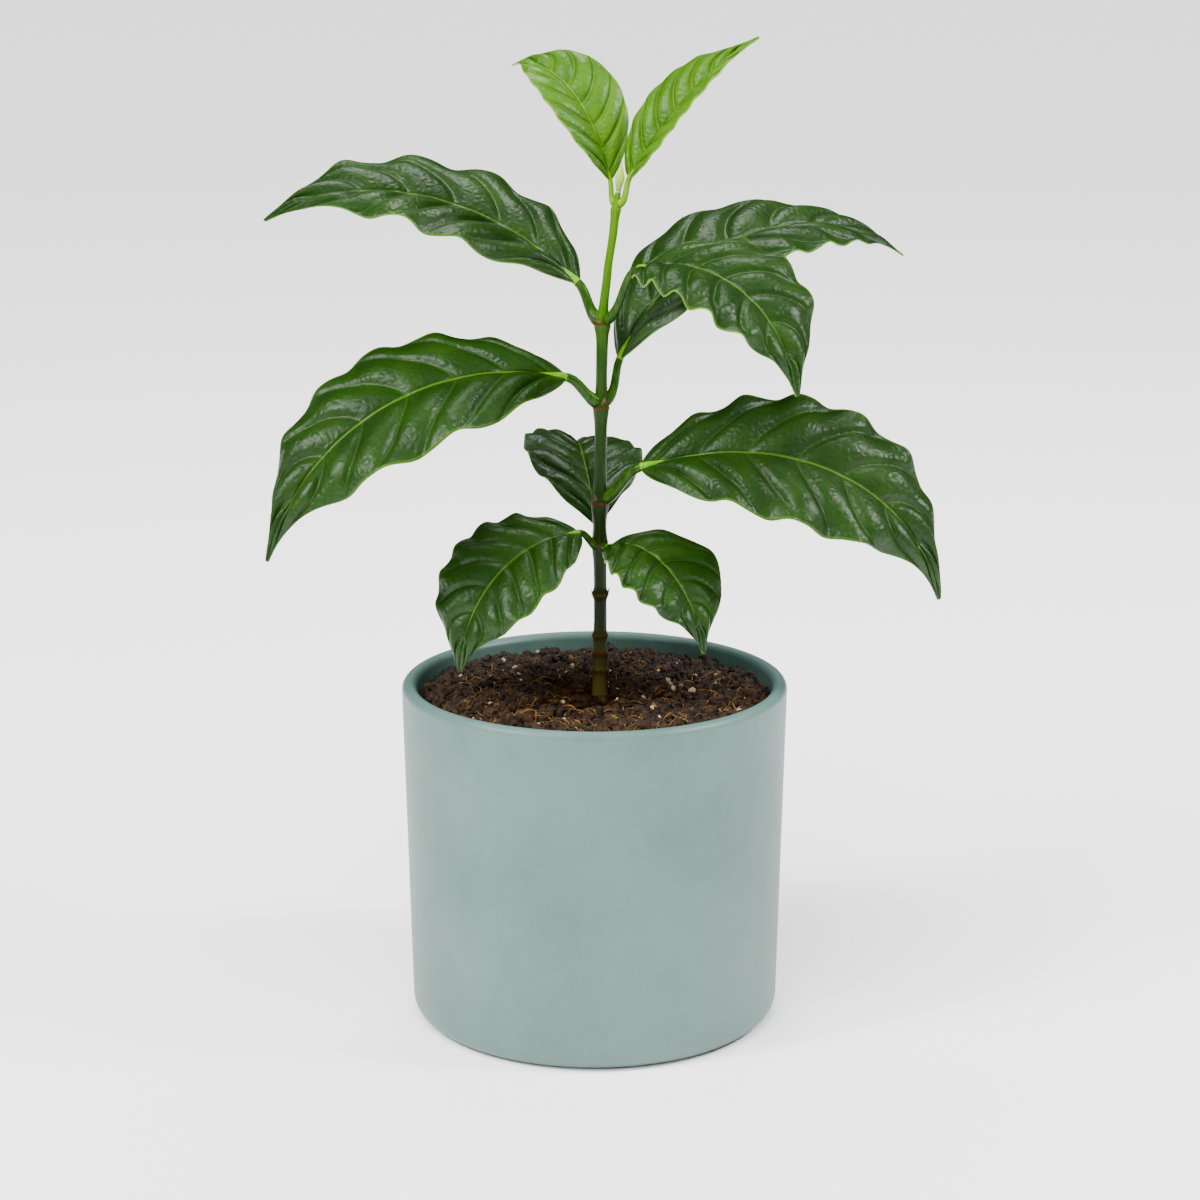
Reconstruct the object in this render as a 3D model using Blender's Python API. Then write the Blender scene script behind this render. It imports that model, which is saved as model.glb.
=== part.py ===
"""A young coffee plant standing in its round ceramic cover pot, at its real size.

Metres, +Z up. The origin is the centre of the pot's flat underside. The plant is seen from its
front when looking along +Y. A heading is an angle in plan, in degrees: 0 is +X (to the right),
90 is +Y (away) and 180 is -X (to the left).
"""
import math

import bmesh
import bpy
import numpy as np

# The pot: a straight-sided cover pot with softly rounded edges
POT_HEIGHT = 0.108
POT_RIM_RADIUS = 0.060
POT_FOOT_RADIUS = 0.05775
POT_WALL = 0.0046
POT_FLOOR = 0.006
LIP_ROUNDING = 0.0023
FOOT_ROUNDING = 0.0064
INNER_ROUNDING = 0.005
POT_SEGMENTS = 48

# The potting mix fills the pot to just under the rim
SOIL_LEVEL = 0.1025
SOIL_FLAT_RADIUS = 0.0045
SOIL_LUMP = 0.0009

# Neighbours that touch keep this much air between them
CLEAR = 0.0003

# The stem: its centre line leans right above the second pair of leaves
STEM_LINE = ((0.1025, 0.0016), (0.135, 0.0018), (0.160, 0.0016), (0.190, 0.0020),
             (0.2145, 0.0023), (0.2215, 0.0024), (0.2365, 0.0041), (0.2465, 0.0056),
             (0.2560, 0.0067), (0.2685, 0.0083))
STEM_TAPER = ((0.1025, 0.00265), (0.107, 0.00235), (0.125, 0.0020), (0.150, 0.0019),
              (0.186, 0.0019), (0.204, 0.0017), (0.214, 0.0018), (0.227, 0.00136),
              (0.240, 0.0012), (0.254, 0.0013), (0.2575, 0.0009), (0.2592, 0.0009))
STEM_TOP = 0.2592
STEM_SIDES = 12
STEM_STEP = 0.0022

# Where leaves stand, or once stood: height, how much the stem swells there, and how far along
FORK, SECOND, THIRD, FOURTH, FIFTH = 0.2557, 0.2205, 0.1955, 0.1655, 0.1508
SWELLINGS = ((0.2540, 0.0003, 0.0018), (0.2195, 0.0009, 0.0030), (0.1935, 0.0006, 0.0035),
             (0.1635, 0.0008, 0.0045), (0.1510, 0.0006, 0.0040), (0.1352, 0.0006, 0.0013),
             (0.1222, 0.0004, 0.0010), (0.1163, 0.0004, 0.0010), (0.1108, 0.0004, 0.0010))

# The pointed bud between the two youngest leaves
BUD_HEIGHT = 0.0090
BUD_HALF_WIDTH = 0.00140
BUD_HALF_DEPTH = 0.0010

# How every leaf is built
BLADE_THICKNESS_SHARE = 0.0112
LEAST_BLADE_THICKNESS = 0.0008
TIP_HALF_WIDTH = 0.0006
PETIOLE_STEPS = 4
RING_SHARES = (-1.0, -0.66, -0.33, 0.0, 0.33, 0.66, 1.0)
WAVE_POWER = 2.5
TIP_SQUEEZE = 0.70

# Each leaf. node: height on the stem. stalk: the leaf stalk's heading. out, up: from the stem's
# centre to the foot of the blade. thick: the stalk's radius. steps: rings along the blade.
# heading, turn: the way the blade runs, and how it swings round.
# climb, droop, onset: its slope at the foot, how far it bends down, and how late.
# roll, twist: its right-hand side lifted, at the foot and then towards the tip.
# fold: how far the left and right halves are lifted. widest, full, drip: the outline.
# left, right: the waves of each margin, as how many, where they start, and their height.
LEAVES = (
    dict(name="leaf_top_left", node=FORK, stalk=134, out=0.0028, up=0.0071, thick=0.00075, steps=22,
         heading=150, turn=-18, climb=72, droop=90, onset=1.7, roll=20, twist=1, fold=(19, 14),
         length=0.0567, half_width=0.0131, widest=0.46, full=0.92, drip=0.11,
         left=(7.5, 0.04, 0.0010), right=(6.0, 0.60, 0.0006)),
    dict(name="leaf_top_right", node=FORK, stalk=-8, out=0.0039, up=0.0079, thick=0.00085, steps=22,
         heading=-7, turn=5, climb=59, droop=27, onset=1.3, roll=-40, twist=12, fold=(13, 26),
         length=0.0570, half_width=0.0118, widest=0.40, full=0.92, drip=0.13,
         left=(6.8, 0.52, 0.0008), right=(8.3, 0.68, 0.0009)),
    dict(name="leaf_upper_left", node=SECOND, stalk=144, out=0.0090, up=0.0107, thick=0.0014, steps=30,
         heading=144, turn=72, climb=35, droop=61, onset=1.5, roll=18, twist=0, fold=(5, 2),
         length=0.108, half_width=0.0250, widest=0.47, full=0.98, drip=0.12,
         left=(4.0, 0.85, 0.0020), right=(6.0, 0.91, 0.0018)),
    dict(name="leaf_upper_right_front", node=SECOND, stalk=-42, out=0.0148, up=0.0173, thick=0.0011, steps=26,
         heading=-42, turn=3, climb=15, droop=95, onset=1.2, roll=-15, twist=11, fold=(7, 4),
         length=0.0764, half_width=0.0212, widest=0.43, full=0.73, drip=0.12,
         left=(5.5, 0.59, 0.0016), right=(7.0, 0.17, 0.0020)),
    dict(name="leaf_upper_right_back", node=THIRD, stalk=30, out=0.0065, up=0.0127, thick=0.0012, steps=30,
         heading=31, turn=0, climb=63, droop=95, onset=0.9, roll=-1, twist=-28, fold=(-3, 8),
         length=0.122, half_width=0.0254, widest=0.39, full=1.10, drip=0.08,
         left=(6.0, 0.56, 0.0009), right=(7.2, 0.75, 0.0013)),
    dict(name="leaf_middle_left", node=THIRD, stalk=195, out=0.0111, up=0.0082, thick=0.0014, steps=30,
         heading=195, turn=7, climb=12, droop=85, onset=1.1, roll=24, twist=0, fold=(0, -1),
         length=0.117, half_width=0.0257, widest=0.42, full=0.87, drip=0.11,
         left=(4.0, 0.74, 0.0022), right=(7.0, 0.21, 0.0015)),
    dict(name="leaf_middle_right", node=FOURTH, stalk=-13, out=0.0129, up=0.0104, thick=0.0014, steps=30,
         heading=-13, turn=10, climb=17, droop=96, onset=1.4, roll=-33, twist=-11, fold=(2, 1),
         length=0.113, half_width=0.0236, widest=0.44, full=0.76, drip=0.13,
         left=(7.6, 0.19, 0.0022), right=(4.7, 0.97, 0.0024)),
    dict(name="leaf_back", node=FIFTH, stalk=99, out=0.0066, up=0.0048, thick=0.0011, steps=28,
         heading=101, turn=-11, climb=50, droop=79, onset=0.8, roll=7, twist=-15, fold=(11, 0),
         length=0.082, half_width=0.0184, widest=0.43, full=1.20, drip=0.11,
         left=(6.0, 0.10, 0.0014), right=(6.0, 0.60, 0.0014)),
    dict(name="leaf_lower_left", node=FIFTH, stalk=212, out=0.0076, up=0.0048, thick=0.0010, steps=24,
         heading=211, turn=2, climb=3, droop=90, onset=1.0, roll=18, twist=2, fold=(-1, 3),
         length=0.0632, half_width=0.0187, widest=0.44, full=0.73, drip=0.12,
         left=(4.8, 0.05, 0.0012), right=(7.3, 0.77, 0.0013)),
    dict(name="leaf_lower_right", node=FIFTH, stalk=-60, out=0.0048, up=0.0002, thick=0.0010, steps=24,
         heading=-44, turn=-2, climb=33, droop=111, onset=0.7, roll=-11, twist=10, fold=(1, 1),
         length=0.0553, half_width=0.0176, widest=0.46, full=0.95, drip=0.12,
         left=(3.0, 0.75, 0.0011), right=(7.4, 0.15, 0.0013)),
)

YOUNG_LEAVES = ("leaf_top_left", "leaf_top_right")
MEDIUM_LEAVES = ("leaf_upper_right_front",)


def clear_scene():
    for obj in list(bpy.data.objects):
        bpy.data.objects.remove(obj, do_unlink=True)


def material(name, colour, roughness):
    made = bpy.data.materials.new(name)
    made.use_nodes = True
    shader = made.node_tree.nodes["Principled BSDF"]
    shader.inputs["Base Color"].default_value = (*colour, 1.0)
    shader.inputs["Roughness"].default_value = roughness
    shader.inputs["Metallic"].default_value = 0.0
    return made


def new_object(name, mesh, finish):
    mesh.materials.append(finish)
    obj = bpy.data.objects.new(name, mesh)
    bpy.context.scene.collection.objects.link(obj)
    return obj


def read_off(line, at):
    """The value of a (place, value) line at a place between its points."""
    places, values = zip(*line)
    return float(np.interp(at, places, values))


def smooth_step(low, high, value):
    t = np.clip((value - low) / (high - low), 0.0, 1.0)
    return t * t * (3.0 - 2.0 * t)


def loft(rings):
    """A closed mesh through rings of points, each ring in the same order, with flat ends."""
    bm = bmesh.new()
    loops = [[bm.verts.new(point) for point in ring] for ring in rings]
    for lower, upper in zip(loops, loops[1:]):
        for i in range(len(lower)):
            j = (i + 1) % len(lower)
            bm.faces.new((lower[i], lower[j], upper[j], upper[i]))
    bm.faces.new(loops[0])
    bm.faces.new(loops[-1])
    bmesh.ops.recalc_face_normals(bm, faces=bm.faces)
    mesh = bpy.data.meshes.new("loft")
    bm.to_mesh(mesh)
    bm.free()
    mesh.shade_smooth()
    mesh.set_sharp_from_angle(angle=math.radians(50))
    return mesh


def arc(centre_r, centre_z, radius, start, end, steps):
    """Points of an arc in the turning plane, by angle in degrees from +r towards +z."""
    angles = np.radians(np.linspace(start, end, steps + 1))
    return [(centre_r + radius * math.cos(a), centre_z + radius * math.sin(a)) for a in angles]


def turned(name, outline, finish):
    """An outline of (radius, height) turned round Z, down its outer side first."""
    mesh = bpy.data.meshes.new(name)
    points = [(radius, 0.0, height) for radius, height in outline]
    mesh.from_pydata(points, [(i, i + 1) for i in range(len(points) - 1)], [])
    obj = new_object(name, mesh, finish)
    screw = obj.modifiers.new("turn", "SCREW")
    screw.steps = screw.render_steps = POT_SEGMENTS
    screw.use_merge_vertices = True
    screw.merge_threshold = 0.00001
    return obj


def pot_inner_radius():
    return POT_RIM_RADIUS - POT_WALL


def pot(finish):
    """The wall is even, so the inside leans in as the outside does."""
    lean = POT_RIM_RADIUS - POT_FOOT_RADIUS
    inner_foot = pot_inner_radius() - lean
    lip_top = POT_HEIGHT - LIP_ROUNDING
    outline = [(0.0, POT_FLOOR), (inner_foot - INNER_ROUNDING, POT_FLOOR)]
    outline += arc(inner_foot - INNER_ROUNDING, POT_FLOOR + INNER_ROUNDING, INNER_ROUNDING, -90, 0, 3)[1:]
    outline += arc(pot_inner_radius() + LIP_ROUNDING, lip_top, LIP_ROUNDING, 180, 90, 3)
    outline += arc(POT_RIM_RADIUS - LIP_ROUNDING, lip_top, LIP_ROUNDING, 90, 0, 3)
    outline += arc(POT_FOOT_RADIUS - FOOT_ROUNDING, FOOT_ROUNDING, FOOT_ROUNDING, 0, -90, 4)
    outline += [(0.0, 0.0)]
    return turned("pot", outline, finish)


def soil_height(x, y):
    """The surface rises and falls a little, and is flat where the stem leaves it."""
    from_stem = math.hypot(x - read_off(STEM_LINE, SOIL_LEVEL), y)
    lumps = math.sin(x * 260 + 1.0) * math.cos(y * 230) + 0.6 * math.sin(x * 410 - y * 350)
    return SOIL_LEVEL + SOIL_LUMP * lumps * smooth_step(SOIL_FLAT_RADIUS, 0.012, from_stem)


def potting_mix(finish):
    """Rings from the floor up the wall, then inwards over the top to the flat under the stem."""
    lean = POT_RIM_RADIUS - POT_FOOT_RADIUS
    foot = pot_inner_radius() - lean - CLEAR
    floor = POT_FLOOR + CLEAR
    levels = arc(foot - INNER_ROUNDING, floor + INNER_ROUNDING, INNER_ROUNDING, -90, 0, 3)
    top_radius = foot + lean * (SOIL_LEVEL / POT_HEIGHT) - CLEAR
    around = np.linspace(0.0, 2 * math.pi, POT_SEGMENTS, endpoint=False)
    rings = [[(r * math.cos(a), r * math.sin(a), z) for a in around] for r, z in levels]
    stem_x = read_off(STEM_LINE, SOIL_LEVEL)
    for share in (1.0, 0.86, 0.70, 0.54, 0.38, 0.24, SOIL_FLAT_RADIUS / top_radius):
        ring = []
        for a in around:
            x = share * top_radius * math.cos(a) + (1.0 - share) * stem_x
            y = share * top_radius * math.sin(a)
            ring.append((x, y, soil_height(x, y)))
        rings.append(ring)
    return new_object("potting_mix", loft(rings), finish)


def stem_radius(z):
    swelling = sum(rise * math.exp(-((z - place) / along) ** 2) for place, rise, along in SWELLINGS)
    return read_off(STEM_TAPER, z) + swelling


def stem_centre(z):
    return np.array((read_off(STEM_LINE, z), 0.0, z))


def stem(finish):
    """Level rings up the leaning centre line, from the flat cut at the soil to the fork."""
    foot = SOIL_LEVEL + CLEAR
    count = round((STEM_TOP - foot) / STEM_STEP)
    around = np.linspace(0.0, 2 * math.pi, STEM_SIDES, endpoint=False)
    rings = []
    for z in np.linspace(foot, STEM_TOP, count + 1):
        x, y, _ = stem_centre(z)
        r = stem_radius(z)
        rings.append([(x + r * math.cos(a), y + r * math.sin(a), z) for a in around])
    return new_object("stem", loft(rings), finish)


def terminal_bud(finish):
    """A flattened, pointed bud that follows the stem's lean."""
    foot = STEM_TOP + CLEAR
    around = np.linspace(0.0, 2 * math.pi, 10, endpoint=False)
    rings = []
    for share in np.linspace(0.0, 1.0, 9):
        z = foot + share * BUD_HEIGHT
        swell = 0.55 + 0.45 * smooth_step(0.0, 0.45, share) - 0.93 * smooth_step(0.42, 1.0, share)
        x, y, _ = stem_centre(z)
        rings.append([(x + BUD_HALF_WIDTH * swell * math.cos(a), y + BUD_HALF_DEPTH * swell * math.sin(a), z)
                      for a in around])
    return new_object("terminal_bud", loft(rings), finish)


def plan_direction(degrees):
    a = math.radians(degrees)
    return np.array((math.cos(a), math.sin(a), 0.0))


def outline_share(leaf, s):
    """The blade's half width along it, as a share of the greatest: an ellipse with a drip tip."""
    skew = math.log(0.5) / math.log(leaf["widest"])
    ellipse = np.clip(np.sin(math.pi * np.clip(s, 0.0, 1.0) ** skew), 0.0, 1.0) ** leaf["full"]
    return ellipse * (1.0 - TIP_SQUEEZE * smooth_step(1.0 - 2.6 * leaf["drip"], 1.0, s))


def blade_foot(leaf):
    return stem_centre(leaf["node"]) + leaf["out"] * plan_direction(leaf["stalk"]) + (0, 0, leaf["up"])


def midrib(leaf):
    """Places along the midrib (0 foot, 1 tip), its points, and its forward, side and up vectors."""
    s = np.linspace(0.0, 1.0, leaf["steps"] + 1)
    heading = np.radians(leaf["heading"] + leaf["turn"] * s)
    slope = np.radians(leaf["climb"] - leaf["droop"] * s ** leaf["onset"])
    flat = np.zeros_like(s)
    forward = np.stack((np.cos(heading) * np.cos(slope), np.sin(heading) * np.cos(slope), np.sin(slope)), 1)
    level = np.stack((np.sin(heading), -np.cos(heading), flat), 1)
    above = np.cross(level, forward)
    run = (forward[1:] + forward[:-1]) * 0.5 * leaf["length"] / leaf["steps"]
    points = blade_foot(leaf) + np.vstack(((0.0, 0.0, 0.0), np.cumsum(run, 0)))
    roll = np.radians(leaf["roll"] + leaf["twist"] * s)[:, None]
    side = level * np.cos(roll) + above * np.sin(roll)
    return s, points, forward, side, np.cross(side, forward)


def margin_wave(leaf, share, s):
    """How far the blade lifts in waves at this share of its half width."""
    count, start, height = leaf["right"] if share > 0 else leaf["left"]
    ends = smooth_step(0.0, 0.12, s) * (1.0 - smooth_step(0.84, 1.0, s))
    return height * ends * abs(share) ** WAVE_POWER * np.sin(2 * math.pi * (count * s + start))


def ring_angles():
    """One angle for each point of a ring: over the top from left to right, then back below."""
    count = len(RING_SHARES)
    step = math.pi / count
    top = [math.pi - step * (i + 0.5) for i in range(count)]
    return top + [-a for a in reversed(top)]


def blade_rings(leaf):
    s, points, _, side, up = midrib(leaf)
    half_thickness = max(LEAST_BLADE_THICKNESS, BLADE_THICKNESS_SHARE * leaf["length"]) / 2
    half_width = leaf["half_width"] * outline_share(leaf, s) + TIP_HALF_WIDTH
    round_foot = 1.0 - smooth_step(0.0, 0.10, s)
    rib = leaf["thick"] * (1.0 - 0.75 * s)
    angles = ring_angles()
    shares = RING_SHARES + tuple(reversed(RING_SHARES))
    rings = [[] for _ in s]
    for angle, share in zip(angles, shares):
        top = math.sin(angle) > 0
        fold = math.radians(leaf["fold"][1] if share > 0 else leaf["fold"][0])
        across = share * half_width * math.cos(fold) + round_foot * leaf["thick"] * math.cos(angle)
        lift = abs(share) * half_width * math.sin(fold) + margin_wave(leaf, share, s)
        flat_skin = np.full_like(s, half_thickness if top else -half_thickness)
        if share == 0.0 and not top:
            flat_skin = -np.maximum(rib, half_thickness)
        skin = round_foot * leaf["thick"] * math.sin(angle) + (1.0 - round_foot) * flat_skin
        placed = points + side * across[:, None] + up * (lift + skin)[:, None]
        for ring, point in zip(rings, placed):
            ring.append(point)
    return rings


def petiole_rings(leaf):
    """The leaf stalk, from a flat end facing the stem to just before the blade's first ring."""
    _, points, forward, side, up = midrib(leaf)
    outwards = plan_direction(leaf["stalk"])
    start = stem_centre(leaf["node"]) + (stem_radius(leaf["node"]) + CLEAR) * outwards
    end = points[0]
    reach = np.linalg.norm(end - start)
    leave = (outwards + (0, 0, 0.5)) * reach
    arrive = forward[0] * reach
    level = np.cross(outwards, (0, 0, 1))
    rings = []
    for t in np.linspace(0.0, 1.0, PETIOLE_STEPS, endpoint=False):
        centre = ((2 * t**3 - 3 * t**2 + 1) * start + (t**3 - 2 * t**2 + t) * leave
                  + (3 * t**2 - 2 * t**3) * end + (t**3 - t**2) * arrive)
        across = level * (1 - t) + side[0] * t
        above = np.array((0, 0, 1)) * (1 - t) + up[0] * t
        radius = leaf["thick"] * (1.12 - 0.12 * t)
        rings.append([centre + radius * (math.cos(a) * across / np.linalg.norm(across)
                                         + math.sin(a) * above / np.linalg.norm(above))
                      for a in ring_angles()])
    return rings


def leaf_object(leaf, finish):
    """Stalk and blade are one skin, drawn through rings that flatten as the stalk ends."""
    return new_object(leaf["name"], loft(petiole_rings(leaf) + blade_rings(leaf)), finish)


def main():
    clear_scene()
    glaze = material("sage_glaze", (0.22, 0.31, 0.28), 0.50)
    mix = material("dark_potting_mix", (0.045, 0.022, 0.012), 0.95)
    bark = material("green_stem", (0.10, 0.20, 0.02), 0.45)
    bud = material("bud_green", (0.22, 0.36, 0.03), 0.40)
    dark = material("dark_leaf", (0.025, 0.10, 0.010), 0.30)
    medium = material("medium_leaf", (0.09, 0.22, 0.012), 0.30)
    young = material("young_leaf", (0.22, 0.45, 0.015), 0.35)
    pot(glaze)
    potting_mix(mix)
    stem(bark)
    terminal_bud(bud)
    for leaf in LEAVES:
        finish = young if leaf["name"] in YOUNG_LEAVES else medium if leaf["name"] in MEDIUM_LEAVES else dark
        leaf_object(leaf, finish)


main()
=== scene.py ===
# %% [markdown]
# # A young coffee plant in its ceramic pot
#
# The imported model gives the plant's size and place. Each part is drawn again, finer, by the
# same rules as the solids: blades with veins between soft pillows, a stem with ring scars,
# a turned pot and a bed of loose potting mix. Metres, +Z up; the front is seen along +Y.

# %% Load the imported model
import math

import bpy
import numpy as np
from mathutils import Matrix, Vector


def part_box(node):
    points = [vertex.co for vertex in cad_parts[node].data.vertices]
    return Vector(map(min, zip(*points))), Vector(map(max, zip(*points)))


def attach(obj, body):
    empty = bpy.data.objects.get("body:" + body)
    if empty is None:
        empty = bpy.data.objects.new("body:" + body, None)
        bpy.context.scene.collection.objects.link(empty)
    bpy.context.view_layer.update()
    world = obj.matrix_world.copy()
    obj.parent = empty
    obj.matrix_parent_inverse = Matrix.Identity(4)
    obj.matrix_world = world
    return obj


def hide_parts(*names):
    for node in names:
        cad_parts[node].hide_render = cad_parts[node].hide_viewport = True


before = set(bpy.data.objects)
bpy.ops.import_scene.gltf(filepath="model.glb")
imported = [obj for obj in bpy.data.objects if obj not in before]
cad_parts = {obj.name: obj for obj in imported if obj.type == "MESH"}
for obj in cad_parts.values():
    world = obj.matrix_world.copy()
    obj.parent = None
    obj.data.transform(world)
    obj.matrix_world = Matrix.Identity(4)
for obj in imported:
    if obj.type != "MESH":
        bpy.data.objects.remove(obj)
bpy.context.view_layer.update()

# %% [markdown]
# ## Driving sizes
# They are the real sizes of the pot, the mix, the stem and each leaf.

# %% Sizes
POT_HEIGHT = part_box("pot")[1][2]
POT_RIM_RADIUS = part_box("pot")[1][0]
POT_FOOT_RADIUS = 0.05775
POT_WALL = 0.0046
POT_FLOOR = 0.006
LIP_ROUNDING = 0.0023
FOOT_ROUNDING = 0.0064
INNER_ROUNDING = 0.005
POT_SEGMENTS = 160

SOIL_LEVEL = 0.1025
SOIL_FOOT = 0.0140
SOIL_RADIUS = POT_RIM_RADIUS - POT_WALL - 0.0005
CRUMBS = 6500
FIBRES = 320
PALE_BITS = 150
SEED = 8

STEM_LINE = ((0.1025, 0.0016), (0.135, 0.0018), (0.160, 0.0016), (0.190, 0.0020),
             (0.2145, 0.0023), (0.2215, 0.0024), (0.2365, 0.0041), (0.2465, 0.0056),
             (0.2560, 0.0067), (0.2685, 0.0083))
STEM_TAPER = ((0.1025, 0.00265), (0.107, 0.00235), (0.125, 0.0020), (0.150, 0.0019),
              (0.186, 0.0019), (0.204, 0.0017), (0.214, 0.0018), (0.227, 0.00136),
              (0.240, 0.0012), (0.254, 0.0013), (0.2575, 0.0009), (0.2592, 0.0009))
STEM_FOOT_X = STEM_LINE[0][1]
STEM_TOP = 0.2592
FORK, SECOND, THIRD, FOURTH, FIFTH = 0.2557, 0.2205, 0.1955, 0.1655, 0.1508
OLD_NODE = 0.1352
SWELLINGS = ((0.2540, 0.0003, 0.0018), (0.2195, 0.0009, 0.0030), (0.1935, 0.0006, 0.0035),
             (0.1635, 0.0008, 0.0045), (0.1510, 0.0006, 0.0040), (0.1352, 0.0006, 0.0013),
             (0.1222, 0.0004, 0.0010), (0.1163, 0.0004, 0.0010), (0.1108, 0.0004, 0.0010))
RING_SCARS = (0.2200, 0.1940, 0.1640, 0.1512, OLD_NODE, 0.1222, 0.1163, 0.1108)

BUD_HEIGHT = 0.0090
BUD_HALF_WIDTH = 0.00140
BUD_HALF_DEPTH = 0.0010

BLADE_THICKNESS = 0.00045
TIP_HALF_WIDTH = 0.0006
WAVE_POWER = 2.5
TIP_SQUEEZE = 0.70
CLEAR = 0.0003
ROWS, COLUMNS = 180, 72
STALK_RINGS = 14
TUBE_SIDES = 14
RIB_STEPS = 60
VEINS = 7.5
VEIN_START = 0.03
VEIN_REACH = 0.20
VEIN_ARCH = 1.45
PILLOW = 0.0020
PILLOW_LEAF_LENGTH = 0.11
YOUNG_WAVE, FULL_WAVE = 0.3, 0.85

# %% [markdown]
# ## The leaves
# node: height on the stem. stalk: the leaf stalk's heading. out, up: from the stem to the
# blade's foot. heading, turn: the way the blade runs. climb, droop, onset: how it rises and
# bends down. roll, twist: its right side lifted. fold: how far the halves are lifted.
# left, right: each margin's waves, as how many, where they start and their height.

# %% Leaf values
LEAVES = (
    dict(name="leaf_top_left", node=FORK, stalk=134, out=0.0028, up=0.0071, thick=0.00075,
         heading=150, turn=-18, climb=72, droop=90, onset=1.7, roll=20, twist=1, fold=(19, 14),
         length=0.0567, half_width=0.0131, widest=0.46, full=0.92, drip=0.11,
         left=(7.5, 0.04, 0.0010), right=(6.0, 0.60, 0.0006)),
    dict(name="leaf_top_right", node=FORK, stalk=-8, out=0.0039, up=0.0079, thick=0.00085,
         heading=-7, turn=5, climb=59, droop=27, onset=1.3, roll=-40, twist=12, fold=(13, 26),
         length=0.0570, half_width=0.0118, widest=0.40, full=0.92, drip=0.13,
         left=(6.8, 0.52, 0.0008), right=(8.3, 0.68, 0.0009)),
    dict(name="leaf_upper_left", node=SECOND, stalk=144, out=0.0090, up=0.0107, thick=0.0014,
         heading=144, turn=72, climb=35, droop=61, onset=1.5, roll=18, twist=0, fold=(5, 2),
         length=0.108, half_width=0.0250, widest=0.47, full=0.98, drip=0.12,
         left=(4.0, 0.85, 0.0020), right=(6.0, 0.91, 0.0018)),
    dict(name="leaf_upper_right_front", node=SECOND, stalk=-42, out=0.0148, up=0.0173, thick=0.0011,
         heading=-42, turn=3, climb=15, droop=95, onset=1.2, roll=-15, twist=11, fold=(7, 4),
         length=0.0764, half_width=0.0212, widest=0.43, full=0.73, drip=0.12,
         left=(5.5, 0.59, 0.0016), right=(7.0, 0.17, 0.0020)),
    dict(name="leaf_upper_right_back", node=THIRD, stalk=30, out=0.0065, up=0.0127, thick=0.0012,
         heading=31, turn=0, climb=63, droop=95, onset=0.9, roll=-1, twist=-28, fold=(-3, 8),
         length=0.122, half_width=0.0254, widest=0.39, full=1.10, drip=0.08,
         left=(6.0, 0.56, 0.0009), right=(7.2, 0.75, 0.0013)),
    dict(name="leaf_middle_left", node=THIRD, stalk=195, out=0.0111, up=0.0082, thick=0.0014,
         heading=195, turn=7, climb=12, droop=85, onset=1.1, roll=24, twist=0, fold=(0, -1),
         length=0.117, half_width=0.0257, widest=0.42, full=0.87, drip=0.11,
         left=(4.0, 0.74, 0.0022), right=(7.0, 0.21, 0.0015)),
    dict(name="leaf_middle_right", node=FOURTH, stalk=-13, out=0.0129, up=0.0104, thick=0.0014,
         heading=-13, turn=10, climb=17, droop=96, onset=1.4, roll=-33, twist=-11, fold=(2, 1),
         length=0.113, half_width=0.0236, widest=0.44, full=0.76, drip=0.13,
         left=(7.6, 0.19, 0.0022), right=(4.7, 0.97, 0.0024)),
    dict(name="leaf_back", node=FIFTH, stalk=99, out=0.0066, up=0.0048, thick=0.0011,
         heading=101, turn=-11, climb=50, droop=79, onset=0.8, roll=7, twist=-15, fold=(11, 0),
         length=0.082, half_width=0.0184, widest=0.43, full=1.20, drip=0.11,
         left=(6.0, 0.10, 0.0014), right=(6.0, 0.60, 0.0014)),
    dict(name="leaf_lower_left", node=FIFTH, stalk=212, out=0.0076, up=0.0048, thick=0.0010,
         heading=211, turn=2, climb=3, droop=90, onset=1.0, roll=18, twist=2, fold=(-1, 3),
         length=0.0632, half_width=0.0187, widest=0.44, full=0.73, drip=0.12,
         left=(4.8, 0.05, 0.0012), right=(7.3, 0.77, 0.0013)),
    dict(name="leaf_lower_right", node=FIFTH, stalk=-60, out=0.0048, up=0.0002, thick=0.0010,
         heading=-44, turn=-2, climb=33, droop=111, onset=0.7, roll=-11, twist=10, fold=(1, 1),
         length=0.0553, half_width=0.0176, widest=0.46, full=0.95, drip=0.12,
         left=(3.0, 0.75, 0.0011), right=(7.4, 0.15, 0.0013)),
)
YOUNG_LEAVES = ("leaf_top_left", "leaf_top_right")
MEDIUM_LEAVES = ("leaf_upper_right_front",)

# %% [markdown]
# ## Shader maths as expressions
# A Value wraps one socket, so that colours and bumps are written as plain arithmetic.


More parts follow.
